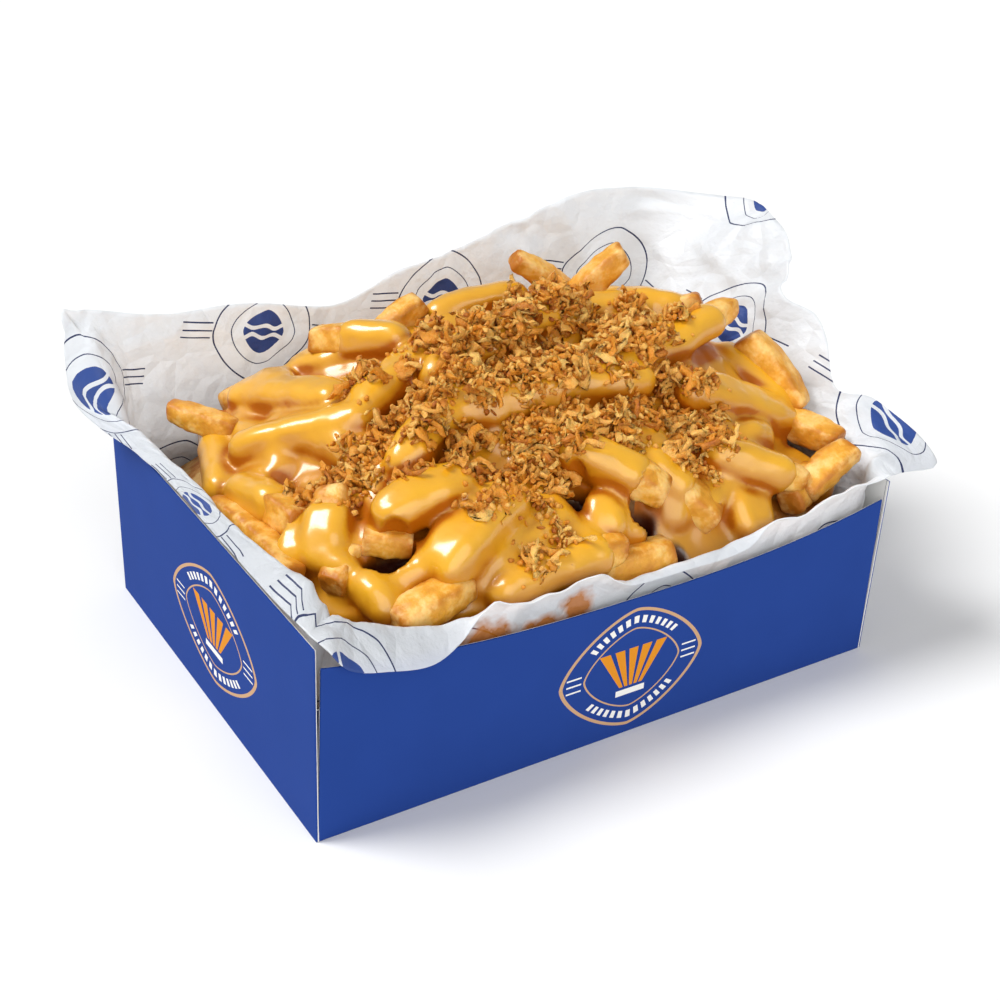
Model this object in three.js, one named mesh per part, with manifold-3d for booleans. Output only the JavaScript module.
// Cheese fries in a folded card tray with a greaseproof paper liner.
// Millimetres, +Z up. The origin is the middle of the tray's underside. +X runs along the
// tray's long front wall and +Y points to its back wall.

import * as THREE from 'three';
import { mergeVertices } from 'three/addons/utils/BufferGeometryUtils.js';
import Module from 'manifold-3d';

const wasm = await Module();
wasm.setup();

// Tray, folded from one card
const TRAY_LENGTH = 175;
const TRAY_DEPTH = 129;
const CARD = 0.7;
const END_WALL_HEIGHT = 55;
const LONG_WALL_HEIGHT = 50;
const SCOOP = 8;
const SCOOP_POWER = 2.5;
const SCOOP_STEPS = 20;
const SEAM_OPENING = 1.1;
const TAB_LENGTH = 20;
const TAB_HEIGHT = 38;
const TAB_CARD = 0.6;

// Paper liner
const PAPER = 0.5;
const PAPER_HALF_LENGTH = 85.7;
const PAPER_HALF_DEPTH = 62.3;
const PAPER_CORNER = 8;
const PAPER_COLUMNS = 72;
const PAPER_FLOOR = CARD + 0.3 + PAPER / 2;
const PAPER_FOLD = 1.6;
const BELOW_RIM = 6;
const OVER_RIM = 13;
const OVER_RIM_INSET = 2.6;

// Gap between neighbouring pieces
const GAP = 0.3;

// Heap of fries: a dome over the tray, highest towards the back right
const DOME_MIDDLE = { x: 6, y: 4 };
const DOME_HALF = { x: 92, y: 70 };
const DOME_POWER = { x: 3.2, y: 2.4 };
const DOME_FOOT = 46;
const DOME_RISE = 44;
const DOME_SLOPE = { x: 0.10, y: 0.06 };
const CORE_HALF = { x: 84, y: 60.5 };
const CORE_CORNER = 8;
const CORE_BELOW = 8;
const CORE_FLOOR = 2;
const CORE_COLUMNS = 32;

// One fry, and the cheese sauce on it
const FRY_WIDTH = 10.4;
const FRY_HEIGHT = 9.6;
const SAUCE_COAT = 1.4;
const TIP_ROOT = 9;
const BLANKET_BELOW = 3.4;
const BLANKET_HALF = { x: 79, y: 56.5 };
const BLANKET_COLUMNS = 32;

// Crispy fried onion
const ONION_FIELD = { x: -1, y: -10, halfX: 54, halfY: 31 };
const ONION_FLAKES = 33;
const ONION_STRIPS = 6;

// Seeded draws, the same at every run
function seededRandom(seed) {
  let state = seed;
  return function next() {
    state = (state * 1664525 + 1013904223) % 4294967296;
    return state / 4294967296;
  };
}

// Closed mesh to solid and back. Points are kept to a thousandth of a millimetre, so that
// faces meant to lie in one plane do.

function toSolid(geometry) {
  const bare = geometry.clone();
  bare.deleteAttribute('normal');
  bare.deleteAttribute('uv');
  const kept = bare.attributes.position.array;
  for (let i = 0; i < kept.length; i++) {
    kept[i] = Math.round(kept[i] * 1000) / 1000;
  }
  const merged = mergeVertices(bare, 1e-4);
  return new wasm.Manifold(new wasm.Mesh({
    numProp: 3,
    vertProperties: new Float32Array(merged.attributes.position.array),
    triVerts: new Uint32Array(merged.index.array),
  }));
}

function toGeometry(solid) {
  const mesh = solid.getMesh();
  const geometry = new THREE.BufferGeometry();
  geometry.setAttribute('position', new THREE.BufferAttribute(mesh.vertProperties, 3));
  geometry.setIndex(new THREE.BufferAttribute(mesh.triVerts, 1));
  geometry.computeVertexNormals();
  return geometry;
}

function joined(solids) {
  return solids.reduce((whole, next) => whole.add(next));
}

// The largest connected body of a solid; loose scraps are dropped
function mainBody(solid) {
  const bodies = solid.decompose();
  return bodies.reduce((best, body) => (body.volume() > best.volume() ? body : best));
}

function indexedGeometry(points, triangles) {
  const geometry = new THREE.BufferGeometry();
  const flat = points.flatMap((p) => [p.x, p.y, p.z]);
  geometry.setAttribute('position', new THREE.Float32BufferAttribute(flat, 3));
  geometry.setIndex(triangles);
  return geometry;
}

// A surface of rings round a middle point, all rings with the same number of columns.
// The middle is point 0, and ring r column c is point 1 + r * columns + c.
function ringTriangles(rings, columns) {
  const triangles = [];
  for (let c = 0; c < columns; c++) {
    const next = (c + 1) % columns;
    triangles.push(0, 1 + c, 1 + next);
    for (let r = 0; r + 1 < rings; r++) {
      const a = 1 + r * columns + c;
      const b = 1 + r * columns + next;
      triangles.push(a, a + columns, b + columns, a, b + columns, b);
    }
  }
  return triangles;
}

// Tray

function rimHeight(x) {
  const share = Math.min(Math.abs(x) / (TRAY_LENGTH / 2), 1);
  return LONG_WALL_HEIGHT - SCOOP + SCOOP * share ** SCOOP_POWER;
}

function longWall() {
  const foot = TRAY_LENGTH / 2 - CARD;
  const top = foot - SEAM_OPENING;
  const outline = new THREE.Shape();
  outline.moveTo(-foot, 0);
  outline.lineTo(foot, 0);
  for (let i = 0; i <= SCOOP_STEPS; i++) {
    const x = top - (2 * top * i) / SCOOP_STEPS;
    outline.lineTo(x, rimHeight(x));
  }
  const wall = new THREE.ExtrudeGeometry(outline, { depth: CARD, bevelEnabled: false });
  wall.rotateX(Math.PI / 2);
  return wall.translate(0, -TRAY_DEPTH / 2 + CARD, 0);
}

function box(width, depth, height, x, y, z) {
  return new THREE.BoxGeometry(width, depth, height).translate(x, y, z + height / 2);
}

function trayGeometry() {
  const endX = (TRAY_LENGTH - CARD) / 2;
  const tabX = TRAY_LENGTH / 2 - TAB_LENGTH / 2;
  const tabY = TRAY_DEPTH / 2 - CARD - TAB_CARD / 2;
  const pieces = [
    box(TRAY_LENGTH, TRAY_DEPTH, CARD, 0, 0, 0),
    longWall(),
    longWall().rotateZ(Math.PI),
  ];
  for (const side of [-1, 1]) {
    pieces.push(box(CARD, TRAY_DEPTH, END_WALL_HEIGHT, side * endX, 0, 0));
    for (const face of [-1, 1]) {
      pieces.push(box(TAB_LENGTH, TAB_CARD, TAB_HEIGHT, side * tabX, face * tabY, 0));
    }
  }
  return toGeometry(joined(pieces.map(toSolid)));
}

// Rounded rectangle: the point a share of the way round, from the front left corner
// along the front, up the right side, back along the rear and down the left side

function onRectangle(distance, halfX, halfY, corner) {
  const lengths = [2 * halfX, 2 * halfY, 2 * halfX, 2 * halfY];
  let side = 0;
  let along = distance;
  while (along > lengths[side]) {
    along -= lengths[side];
    side = (side + 1) % 4;
  }
  const point = [
    new THREE.Vector2(-halfX + along, -halfY),
    new THREE.Vector2(halfX, -halfY + along),
    new THREE.Vector2(halfX - along, halfY),
    new THREE.Vector2(-halfX, halfY - along),
  ][side];
  const inner = new THREE.Vector2(
    Math.sign(point.x) * Math.min(Math.abs(point.x), halfX - corner),
    Math.sign(point.y) * Math.min(Math.abs(point.y), halfY - corner),
  );
  const beyond = point.clone().sub(inner);
  const cut = Math.abs(beyond.x) > 0 && Math.abs(beyond.y) > 0;
  return cut ? inner.add(beyond.setLength(corner)) : point;
}

// Paper liner: free edge of the sheet. Each row is the distance round the tray's walls
// from the front left corner, then where the edge is: x, y, z.
const FREE_EDGE = [
  [1, -84.6, -65.6, 55],
  [8, -80.5, -67.2, 49.5],
  [18, -70, -67.6, 45.5],
  [29, -58, -67.2, 43.4],
  [37, -50, -66.2, 46.5],
  [45, -43, -65.2, 52.5],
  [60, -28, -65.0, 50.2],
  [69, -18, -65.0, 51.0],
  [77, -10, -65.0, 53.0],
  [86, -2, -65.0, 47.6],
  [106, 18, -65.0, 46.4],
  [125, 38, -65.0, 47.4],
  [134, 46, -64.8, 53.4],
  [143, 55, -64.8, 53.4],
  [156, 69, -65.0, 56.0],
  [170, 82, -65.4, 56.6],
  [176, 90, -65.2, 57.2],
  [181, 108, -62, 54.5],
  [189, 107, -55, 60],
  [200, 98, -43, 69.5],
  [208, 92, -35, 69.5],
  [218, 95, -26, 79.5],
  [227, 96, -18, 85.5],
  [239, 93, -8, 88],
  [250, 102, 1, 94],
  [260, 106, 8, 99],
  [274, 110, 22, 102],
  [288, 114, 34, 102],
  [300, 108, 52, 99.5],
  [308, 92, 63, 100.2],
  [326, 69, 65, 101],
  [348, 46, 65, 95],
  [372, 22, 65, 88.5],
  [392, 3, 65, 85],
  [410, -16, 65, 78],
  [440, -45, 65, 83.2],
  [466, -72, 65, 84.8],
  [484, -95, 66, 89.8],
  [492, -99, 66.5, 76],
  [500, -97.5, 65, 62.5],
  [510, -92.5, 54, 57.6],
  [524, -88.6, 38, 57],
  [540, -86.4, 22, 56.6],
  [556, -85.2, 8, 56.4],
  [580, -85.4, -20, 56],
  [597, -85.4, -46, 56],
  [605, -85.0, -59, 56.2],
];

function wallPoint(distance) {
  const round = 2 * TRAY_LENGTH + 2 * TRAY_DEPTH;
  const paperRound = 4 * (PAPER_HALF_LENGTH + PAPER_HALF_DEPTH);
  const share = (distance % round) / round;
  return onRectangle(share * paperRound, PAPER_HALF_LENGTH, PAPER_HALF_DEPTH, PAPER_CORNER);
}

function freeEdgePoint(curve, distance) {
  const count = FREE_EDGE.length;
  const round = 2 * TRAY_LENGTH + 2 * TRAY_DEPTH;
  let row = count - 1;
  while (row > 0 && FREE_EDGE[row][0] > distance) {
    row -= 1;
  }
  const before = FREE_EDGE[row][0];
  const next = (row + 1) % count;
  const gap = (FREE_EDGE[next][0] - before + round) % round;
  const past = (distance - before + round) % round;
  if (distance < FREE_EDGE[0][0]) {
    const last = FREE_EDGE[count - 1][0];
    const span = FREE_EDGE[0][0] + round - last;
    return curve.getPoint((count - 1 + (distance + round - last) / span) / count);
  }
  return curve.getPoint((row + past / gap) / count);
}

function paperSheet(thickness) {
  const round = 2 * TRAY_LENGTH + 2 * TRAY_DEPTH;
  const edgePoints = FREE_EDGE.map(([, x, y, z]) => new THREE.Vector3(x, y, z));
  const edgeCurve = new THREE.CatmullRomCurve3(edgePoints, true, 'centripetal');
  const rings = [[], [], [], [], [], [], [], []];
  for (let c = 0; c < PAPER_COLUMNS; c++) {
    const distance = (round * c) / PAPER_COLUMNS;
    const wall = wallPoint(distance);
    const edge = freeEdgePoint(edgeCurve, distance);
    const overEnd = Math.max(Math.abs(wall.x) + 2, Math.abs(edge.x)) > PAPER_HALF_LENGTH + 1;
    const rim = overEnd ? END_WALL_HEIGHT : rimHeight(wall.x);
    const outwards = Math.hypot(edge.x - wall.x, edge.y - wall.y);
    const hangs = THREE.MathUtils.clamp(outwards / 4 - (edge.z - rim) / 40, 0, 1);
    const inset = OVER_RIM_INSET * hangs;
    const crestZ = THREE.MathUtils.lerp((rim + edge.z) / 2, rim + OVER_RIM, hangs);
    const start = new THREE.Vector3(wall.x, wall.y, rim - BELOW_RIM);
    const inwards = new THREE.Vector3(-wall.x / PAPER_HALF_LENGTH, -wall.y / PAPER_HALF_DEPTH, 0);
    const crest = new THREE.Vector3(wall.x, wall.y, crestZ).addScaledVector(inwards, inset);
    const over = new THREE.QuadraticBezierCurve3(start, crest, edge);
    const foot = 1 - PAPER_FOLD / PAPER_HALF_DEPTH;
    rings[0].push(new THREE.Vector3(wall.x * foot, wall.y * foot, PAPER_FLOOR));
    rings[1].push(new THREE.Vector3(wall.x, wall.y, PAPER_FLOOR + PAPER_FOLD));
    rings[2].push(new THREE.Vector3(wall.x, wall.y, rim / 2));
    [0, 0.25, 0.5, 0.75, 1].forEach((t, i) => rings[3 + i].push(over.getPoint(t)));
  }
  const points = [new THREE.Vector3(0, 0, PAPER_FLOOR), ...rings.flat()];
  const inner = ringTriangles(rings.length, PAPER_COLUMNS);
  const middle = indexedGeometry(points, inner);
  middle.computeVertexNormals();
  const normals = middle.attributes.normal;
  const shifted = (sign) => points.map((p, i) => {
    const normal = new THREE.Vector3().fromBufferAttribute(normals, i);
    return p.clone().addScaledVector(normal, (sign * thickness) / 2);
  });
  const count = points.length;
  const triangles = [...inner];
  for (let i = 0; i < inner.length; i += 3) {
    triangles.push(inner[i] + count, inner[i + 2] + count, inner[i + 1] + count);
  }
  const lastRing = 1 + (rings.length - 1) * PAPER_COLUMNS;
  for (let c = 0; c < PAPER_COLUMNS; c++) {
    const a = lastRing + c;
    const b = lastRing + ((c + 1) % PAPER_COLUMNS);
    triangles.push(a, a + count, b + count, a, b + count, b);
  }
  return indexedGeometry([...shifted(1), ...shifted(-1)], triangles);
}

// Heap

function domeHeight(x, y) {
  const u = Math.min(Math.abs(x - DOME_MIDDLE.x) / DOME_HALF.x, 1);
  const v = Math.min(Math.abs(y - DOME_MIDDLE.y) / DOME_HALF.y, 1);
  const rise = DOME_RISE + DOME_SLOPE.x * x + DOME_SLOPE.y * y;
  return DOME_FOOT + rise * (1 - u ** DOME_POWER.x) * (1 - v ** DOME_POWER.y);
}

// A mound: rings under a height function, then a side down to a flat bottom
function mound(outline, shares, height, bottomZ, bottomShare) {
  const columns = outline.length;
  const points = [new THREE.Vector3(0, 0, height(0, 0))];
  for (const share of shares) {
    for (const p of outline) {
      points.push(new THREE.Vector3(p.x * share, p.y * share, height(p.x * share, p.y * share, share)));
    }
  }
  const triangles = ringTriangles(shares.length, columns);
  const lastRing = 1 + (shares.length - 1) * columns;
  const bottomRing = points.length;
  for (const p of outline) {
    points.push(new THREE.Vector3(p.x * bottomShare, p.y * bottomShare, bottomZ));
  }
  const bottomMiddle = points.length;
  points.push(new THREE.Vector3(0, 0, bottomZ));
  for (let c = 0; c < columns; c++) {
    const next = (c + 1) % columns;
    triangles.push(lastRing + c, bottomRing + c, bottomRing + next);
    triangles.push(lastRing + c, bottomRing + next, lastRing + next);
    triangles.push(bottomMiddle, bottomRing + next, bottomRing + c);
  }
  return indexedGeometry(points, triangles);
}

function coreGeometry(extra) {
  const halfX = CORE_HALF.x + extra;
  const halfY = CORE_HALF.y + extra;
  const round = 4 * (halfX + halfY);
  const outline = [];
  for (let c = 0; c < CORE_COLUMNS; c++) {
    outline.push(onRectangle((round * c) / CORE_COLUMNS, halfX, halfY, CORE_CORNER));
  }
  const shares = [0.24, 0.48, 0.68, 0.84, 0.94, 1];
  const height = (x, y) => domeHeight(x, y) - CORE_BELOW + extra;
  return mound(outline, shares, height, CORE_FLOOR - extra, 0.97);
}

// The sauce between the fries: a blanket with an uneven lobed border
function blanketGeometry() {
  const outline = [];
  for (let c = 0; c < BLANKET_COLUMNS; c++) {
    const angle = (2 * Math.PI * c) / BLANKET_COLUMNS;
    const lobes = 1 + 0.03 * Math.sin(5 * angle + 1) + 0.025 * Math.sin(9 * angle);
    const dx = Math.cos(angle);
    const dy = Math.sin(angle);
    const reach = lobes / (Math.abs(dx) ** 2.8 + Math.abs(dy) ** 2.8) ** (1 / 2.8);
    outline.push(new THREE.Vector2(BLANKET_HALF.x * dx * reach, BLANKET_HALF.y * dy * reach));
  }
  const shares = [0.26, 0.52, 0.74, 0.88, 0.96, 1];
  const height = (x, y, share = 0) => {
    const dip = share === 1 ? CORE_BELOW + 1.5 : BLANKET_BELOW;
    return domeHeight(x, y) - dip;
  };
  return mound(outline, shares, height, 20, 1);
}

// Fries that show, by the two ends of each one's axis: x, y, z, x, y, z, then the length
// left bare of sauce at the first end and at the second (WHOLE for a fry with no sauce).
const WHOLE = 99;
const FRIES = [
  [-75, 51, 62, -62, 34, 60, WHOLE, 0],
  [-56, 54, 60, -42, 10, 75, 4, 0],
  [-40, 48, 66, -27, 31, 76, 0, 0],
  [-68, 23, 60, -41, -2, 75, 0, 0],
  [-62, 50, 56, -75, 14, 52, 0, 0],
  [-73, 12, 55, -69, -19, 59, 0, 10],
  [-77, 11, 48, -77, -27, 47, WHOLE, 0],
  [-67, -13, 58, -74, -26, 51, 0, 0],
  [-59, -18, 66, -69, -32, 53, 5, 0],
  [-63, -33, 55, -70, -38, 52, 0, 3],
  [-59, -34, 59, -46, -42, 58, WHOLE, 0],
  [-55, -34, 65, -30, -34, 69, 0, 0],
  [-63, -39, 53, -60, -51, 48, 0, 0],
  [-62, -54, 49, -40, -54, 54, WHOLE, 0],
  [-20, -40, 66, -48, -50, 56, 0, 0],
  [-36, -56, 49, 3, -56, 53, 0, 7],
  [3, -44, 62, 1, -53, 54, 0, 0],
  [-3, -34, 73, 19, -52, 62, 0, 7],
  [18, -42, 67, 33, -57, 51, 0, 9],
  [-3, -56, 47, 17, -57, 48, WHOLE, 0],
  [38, -43, 67, 64, -54, 56, 0, 4],
  [75, -47, 53, 59, -56, 51, WHOLE, 0],
  [64, -56, 53, 82, -50, 60, WHOLE, 0],
  [40, -29, 78, 79, -31, 60, 0, 0],
  [77, -33, 60, 82, -45, 58, WHOLE, 0],
  [70, -6, 74, 79, -30, 62, 0, 0],
  [76, -12, 80, 82, -31, 64, WHOLE, 0],
  [42, -16, 83, 70, -8, 87, 0, 7],
  [58, 8, 82, 68, 0, 88, 0, 6],
  [41, 25, 84, 54, 22, 95, WHOLE, 0],
  [44, 30, 83, 28, 33, 94, WHOLE, 0],
  [-18, 37, 79, -5, 37, 86, WHOLE, 0],
  [-35, 42, 79, -18, 20, 84, 9, 0],
  [-2, 36, 81, 29, 33, 84, 0, 0],
  [50, 18, 84, 67, 3, 83, 0, 0],
  [42, -47, 61, 49, -55, 51, 0, 0],
];

// More sauced fries under the onion, and down the heap's back and right slopes
function fillerFries() {
  const random = seededRandom(29);
  const rows = [];
  const lay = (x, y, angle, length, bare) => {
    const dx = (Math.cos(angle) * length) / 2;
    const dy = (Math.sin(angle) * length) / 2;
    const sink = FRY_HEIGHT / 2 + SAUCE_COAT;
    const z0 = domeHeight(x - dx, y - dy) - sink;
    const z1 = domeHeight(x + dx, y + dy) - sink;
    rows.push([x - dx, y - dy, z0, x + dx, y + dy, z1, 0, bare]);
  };
  for (let i = 0; i < 8; i++) {
    const x = -30 + 21 * (i % 4) + 4 * random();
    const y = -22 + 27 * Math.floor(i / 4) + 6 * random();
    lay(x, y, -0.6 + 1.5 * random(), 34, 0);
  }
  for (let i = 0; i < 7; i++) {
    const x = -46 + 17 * i;
    lay(x, 44 + 3 * random(), 1.25 + 0.9 * random(), 22 + 8 * random(), i % 2 ? 6 : 0);
  }
  for (let i = 0; i < 3; i++) {
    lay(70, 14 + 13 * i, 0.2 + 0.5 * random(), 22, i % 2 ? 6 : 0);
  }
  return rows;
}

// A bar with a rounded-square section, narrowed at both ends
const BARE_SECTION = [
  [1, 0.5], [0.5, 1], [-0.5, 1], [-1, 0.5], [-1, -0.5], [-0.5, -1], [0.5, -1], [1, -0.5],
];
const SAUCED_SECTION = [[1, 0], [0.55, 0.95], [-0.55, 0.95], [-1, 0], [-0.55, -0.95], [0.55, -0.95]];
const SAUCED_STATIONS = [[0, 0.82], [0.5, 1.04], [1, 0.82]];

function bareStations(length) {
  const blunt = Math.min(2.2, length * 0.2) / length;
  return [[0, 0.66], [blunt, 1], [1 - blunt, 1], [1, 0.66]];
}

function bar(from, to, width, height, section, stations) {
  const axis = to.clone().sub(from);
  const along = axis.clone().normalize();
  const side = new THREE.Vector3(0, 0, 1).cross(along).normalize();
  const up = along.clone().cross(side);
  const sides = section.length;
  const points = [];
  for (const [share, size] of stations) {
    const middle = from.clone().addScaledVector(axis, share);
    for (const [a, b] of section) {
      const p = middle.clone().addScaledVector(side, (a * size * width) / 2);
      points.push(p.addScaledVector(up, (b * size * height) / 2));
    }
  }
  const triangles = [];
  const lastRing = (stations.length - 1) * sides;
  for (let i = 1; i + 1 < sides; i++) {
    triangles.push(0, i + 1, i);
    triangles.push(lastRing, lastRing + i, lastRing + i + 1);
  }
  for (let r = 0; r < stations.length - 1; r++) {
    for (let i = 0; i < sides; i++) {
      const a = r * sides + i;
      const b = r * sides + ((i + 1) % sides);
      triangles.push(a, b, b + sides, a, b + sides, a + sides);
    }
  }
  return indexedGeometry(points, triangles);
}

function fryEnds([x0, y0, z0, x1, y1, z1]) {
  return [new THREE.Vector3(x0, y0, z0), new THREE.Vector3(x1, y1, z1)];
}

// Bare lengths of the fries, each rooted in the heap below the sauce
function bareBars(rows, extra) {
  const bars = [];
  const add = (from, to) => {
    const more = to.clone().sub(from).setLength(extra);
    const start = from.clone().sub(more);
    const end = to.clone().add(more);
    const stations = bareStations(start.distanceTo(end));
    const [width, height] = [FRY_WIDTH + 2 * extra, FRY_HEIGHT + 2 * extra];
    bars.push(bar(start, end, width, height, BARE_SECTION, stations));
  };
  for (const row of rows) {
    const [from, to] = fryEnds(row);
    const length = from.distanceTo(to);
    const [bareFrom, bareTo] = [row[6], row[7]];
    if (bareFrom === WHOLE) {
      add(from, to);
      continue;
    }
    if (bareFrom > 0) {
      add(from, from.clone().lerp(to, (bareFrom + TIP_ROOT) / length));
    }
    if (bareTo > 0) {
      add(to.clone().lerp(from, (bareTo + TIP_ROOT) / length), to);
    }
  }
  return bars;
}

function saucedBars(rows) {
  const bars = [];
  for (const row of rows) {
    if (row[6] === WHOLE) {
      continue;
    }
    const [from, to] = fryEnds(row);
    const length = from.distanceTo(to);
    const start = from.clone().lerp(to, row[6] / length);
    const end = to.clone().lerp(from, row[7] / length);
    const [width, height] = [FRY_WIDTH + 2 * SAUCE_COAT, FRY_HEIGHT + 2 * SAUCE_COAT];
    bars.push(bar(start, end, width, height, SAUCED_SECTION, SAUCED_STATIONS));
  }
  return bars;
}

// Dark crevices between the fries: x, y, z, and half sizes along the heap
const CREVICES = [
  [-5, -47, 62, 5, 4],
  [10, -54, 57, 4.5, 3.5],
  [-57, -43, 55, 7, 4],
  [-74, -11, 53, 3.5, 5],
  [21, -60, 50, 4, 3],
];
const CREVICE_DEPTH = 12;

function creviceGeometry([x, y, z, halfX, halfY]) {
  const hollow = new THREE.SphereGeometry(1, 8, 4);
  return hollow.scale(halfX, halfY, CREVICE_DEPTH).translate(x, y, z);
}

// Crispy onion

function heightOver(geometry, x, y) {
  const p = geometry.attributes.position;
  const index = geometry.index;
  let top = -Infinity;
  for (let i = 0; i < index.count; i += 3) {
    const [a, b, c] = [index.getX(i), index.getX(i + 1), index.getX(i + 2)];
    const abx = p.getX(b) - p.getX(a);
    const aby = p.getY(b) - p.getY(a);
    const acx = p.getX(c) - p.getX(a);
    const acy = p.getY(c) - p.getY(a);
    const area = abx * acy - aby * acx;
    if (area < 1e-9) {
      continue;
    }
    const px = x - p.getX(a);
    const py = y - p.getY(a);
    const s = (px * acy - py * acx) / area;
    const t = (abx * py - aby * px) / area;
    if (s >= 0 && t >= 0 && s + t <= 1) {
      const z = p.getZ(a) + s * (p.getZ(b) - p.getZ(a)) + t * (p.getZ(c) - p.getZ(a));
      top = Math.max(top, z);
    }
  }
  return top;
}

// A crumpled flake: a squashed, uneven lump of 20 faces
function flake(size, random) {
  const lump = new THREE.IcosahedronGeometry(1, 0);
  lump.deleteAttribute('normal');
  lump.deleteAttribute('uv');
  const merged = mergeVertices(lump, 1e-4);
  const p = merged.attributes.position;
  for (let i = 0; i < p.count; i++) {
    const swell = 0.75 + 0.5 * random();
    p.setXYZ(i, p.getX(i) * swell * size, p.getY(i) * swell * size * 0.6, p.getZ(i) * swell * 1.5);
  }
  return merged;
}

// A curled strip: a bar bent once along its length
function strip(length, random) {
  const bent = new THREE.BoxGeometry(length, 2.2, 1.5, 3, 1, 1);
  bent.deleteAttribute('normal');
  bent.deleteAttribute('uv');
  const merged = mergeVertices(bent, 1e-4);
  const p = merged.attributes.position;
  const curl = 1.2 + 2 * random();
  for (let i = 0; i < p.count; i++) {
    const share = (2 * p.getX(i)) / length;
    p.setZ(i, p.getZ(i) + 1.4 * share * share);
    p.setY(i, p.getY(i) + curl * (1 - share * share));
  }
  return merged;
}

function onionPieces(ground, blocked) {
  const random = seededRandom(7);
  const pieces = [];
  let tries = 0;
  while (pieces.length < ONION_FLAKES + ONION_STRIPS && tries < 900) {
    tries += 1;
    const angle = 2 * Math.PI * random();
    const reach = Math.sqrt(random()) * (random() < 0.12 ? 1.25 : 0.95);
    const x = ONION_FIELD.x + ONION_FIELD.halfX * reach * Math.cos(angle);
    const y = ONION_FIELD.y + ONION_FIELD.halfY * reach * Math.sin(angle);
    const turn = 2 * Math.PI * random();
    const tilt = 0.5 * (random() - 0.5);
    const isStrip = pieces.length >= ONION_FLAKES;
    const size = isStrip ? 8 + 4 * random() : 2.2 + 2.2 * random();
    const clearance = size + 3;
    if (blocked.some((b) => b.distanceTo(new THREE.Vector2(x, y)) < clearance)) {
      continue;
    }
    const piece = isStrip ? strip(size, random) : flake(size, random);
    const lift = isStrip ? 0.2 : 0.5;
    piece.rotateX(tilt).rotateZ(turn).translate(x, y, heightOver(ground, x, y) + lift);
    pieces.push(toSolid(piece));
  }
  return pieces;
}

// Points along the bare fries, seen from above, that the onion keeps clear of
function bareSpots(rows) {
  const spots = [];
  for (const row of rows) {
    const [from, to] = fryEnds(row);
    const length = from.distanceTo(to);
    const whole = row[6] === WHOLE;
    for (let along = 0; along <= length; along += 4) {
      const nearStart = row[6] > 0 && along < row[6] + TIP_ROOT;
      const nearEnd = row[7] > 0 && along > length - row[7] - TIP_ROOT;
      if (whole || nearStart || nearEnd) {
        const p = from.clone().lerp(to, along / length);
        spots.push(new THREE.Vector2(p.x, p.y));
      }
    }
  }
  return spots;
}

function heapSolids() {
  const rows = [...FRIES, ...fillerFries()];
  const paperRoom = toSolid(paperSheet(PAPER + 2 * GAP));
  const crevices = joined(CREVICES.map((row) => toSolid(creviceGeometry(row))));
  const core = toSolid(coreGeometry(0)).subtract(crevices);
  const bare = joined(bareBars(rows, 0).map(toSolid));
  const fries = mainBody(core.add(bare).subtract(paperRoom));
  const coated = joined([toSolid(blanketGeometry()), ...saucedBars(rows).map(toSolid)]);
  const hollowed = coated.subtract(crevices);
  const onion = onionPieces(toGeometry(hollowed), bareSpots(rows));
  const friesRoom = toSolid(coreGeometry(GAP)).add(joined(bareBars(rows, GAP).map(toSolid)));
  const sauce = mainBody(hollowed.add(joined(onion)).subtract(friesRoom).subtract(paperRoom));
  return { fries, sauce };
}

// The finished part

const part = new THREE.Group();

function addPiece(name, geometry, color, roughness) {
  const material = new THREE.MeshStandardMaterial({ color, roughness, metalness: 0 });
  const piece = new THREE.Mesh(geometry, material);
  piece.name = name;
  part.add(piece);
}

const heap = heapSolids();

addPiece('tray', trayGeometry(), '#2e4f96', 0.55);
addPiece('paper_liner', toGeometry(toSolid(paperSheet(PAPER))), '#dcdad6', 0.7);
addPiece('fries', toGeometry(heap.fries), '#e0a04a', 0.65);
addPiece('cheese_sauce', toGeometry(heap.sauce), '#eba83a', 0.25);

export default part;
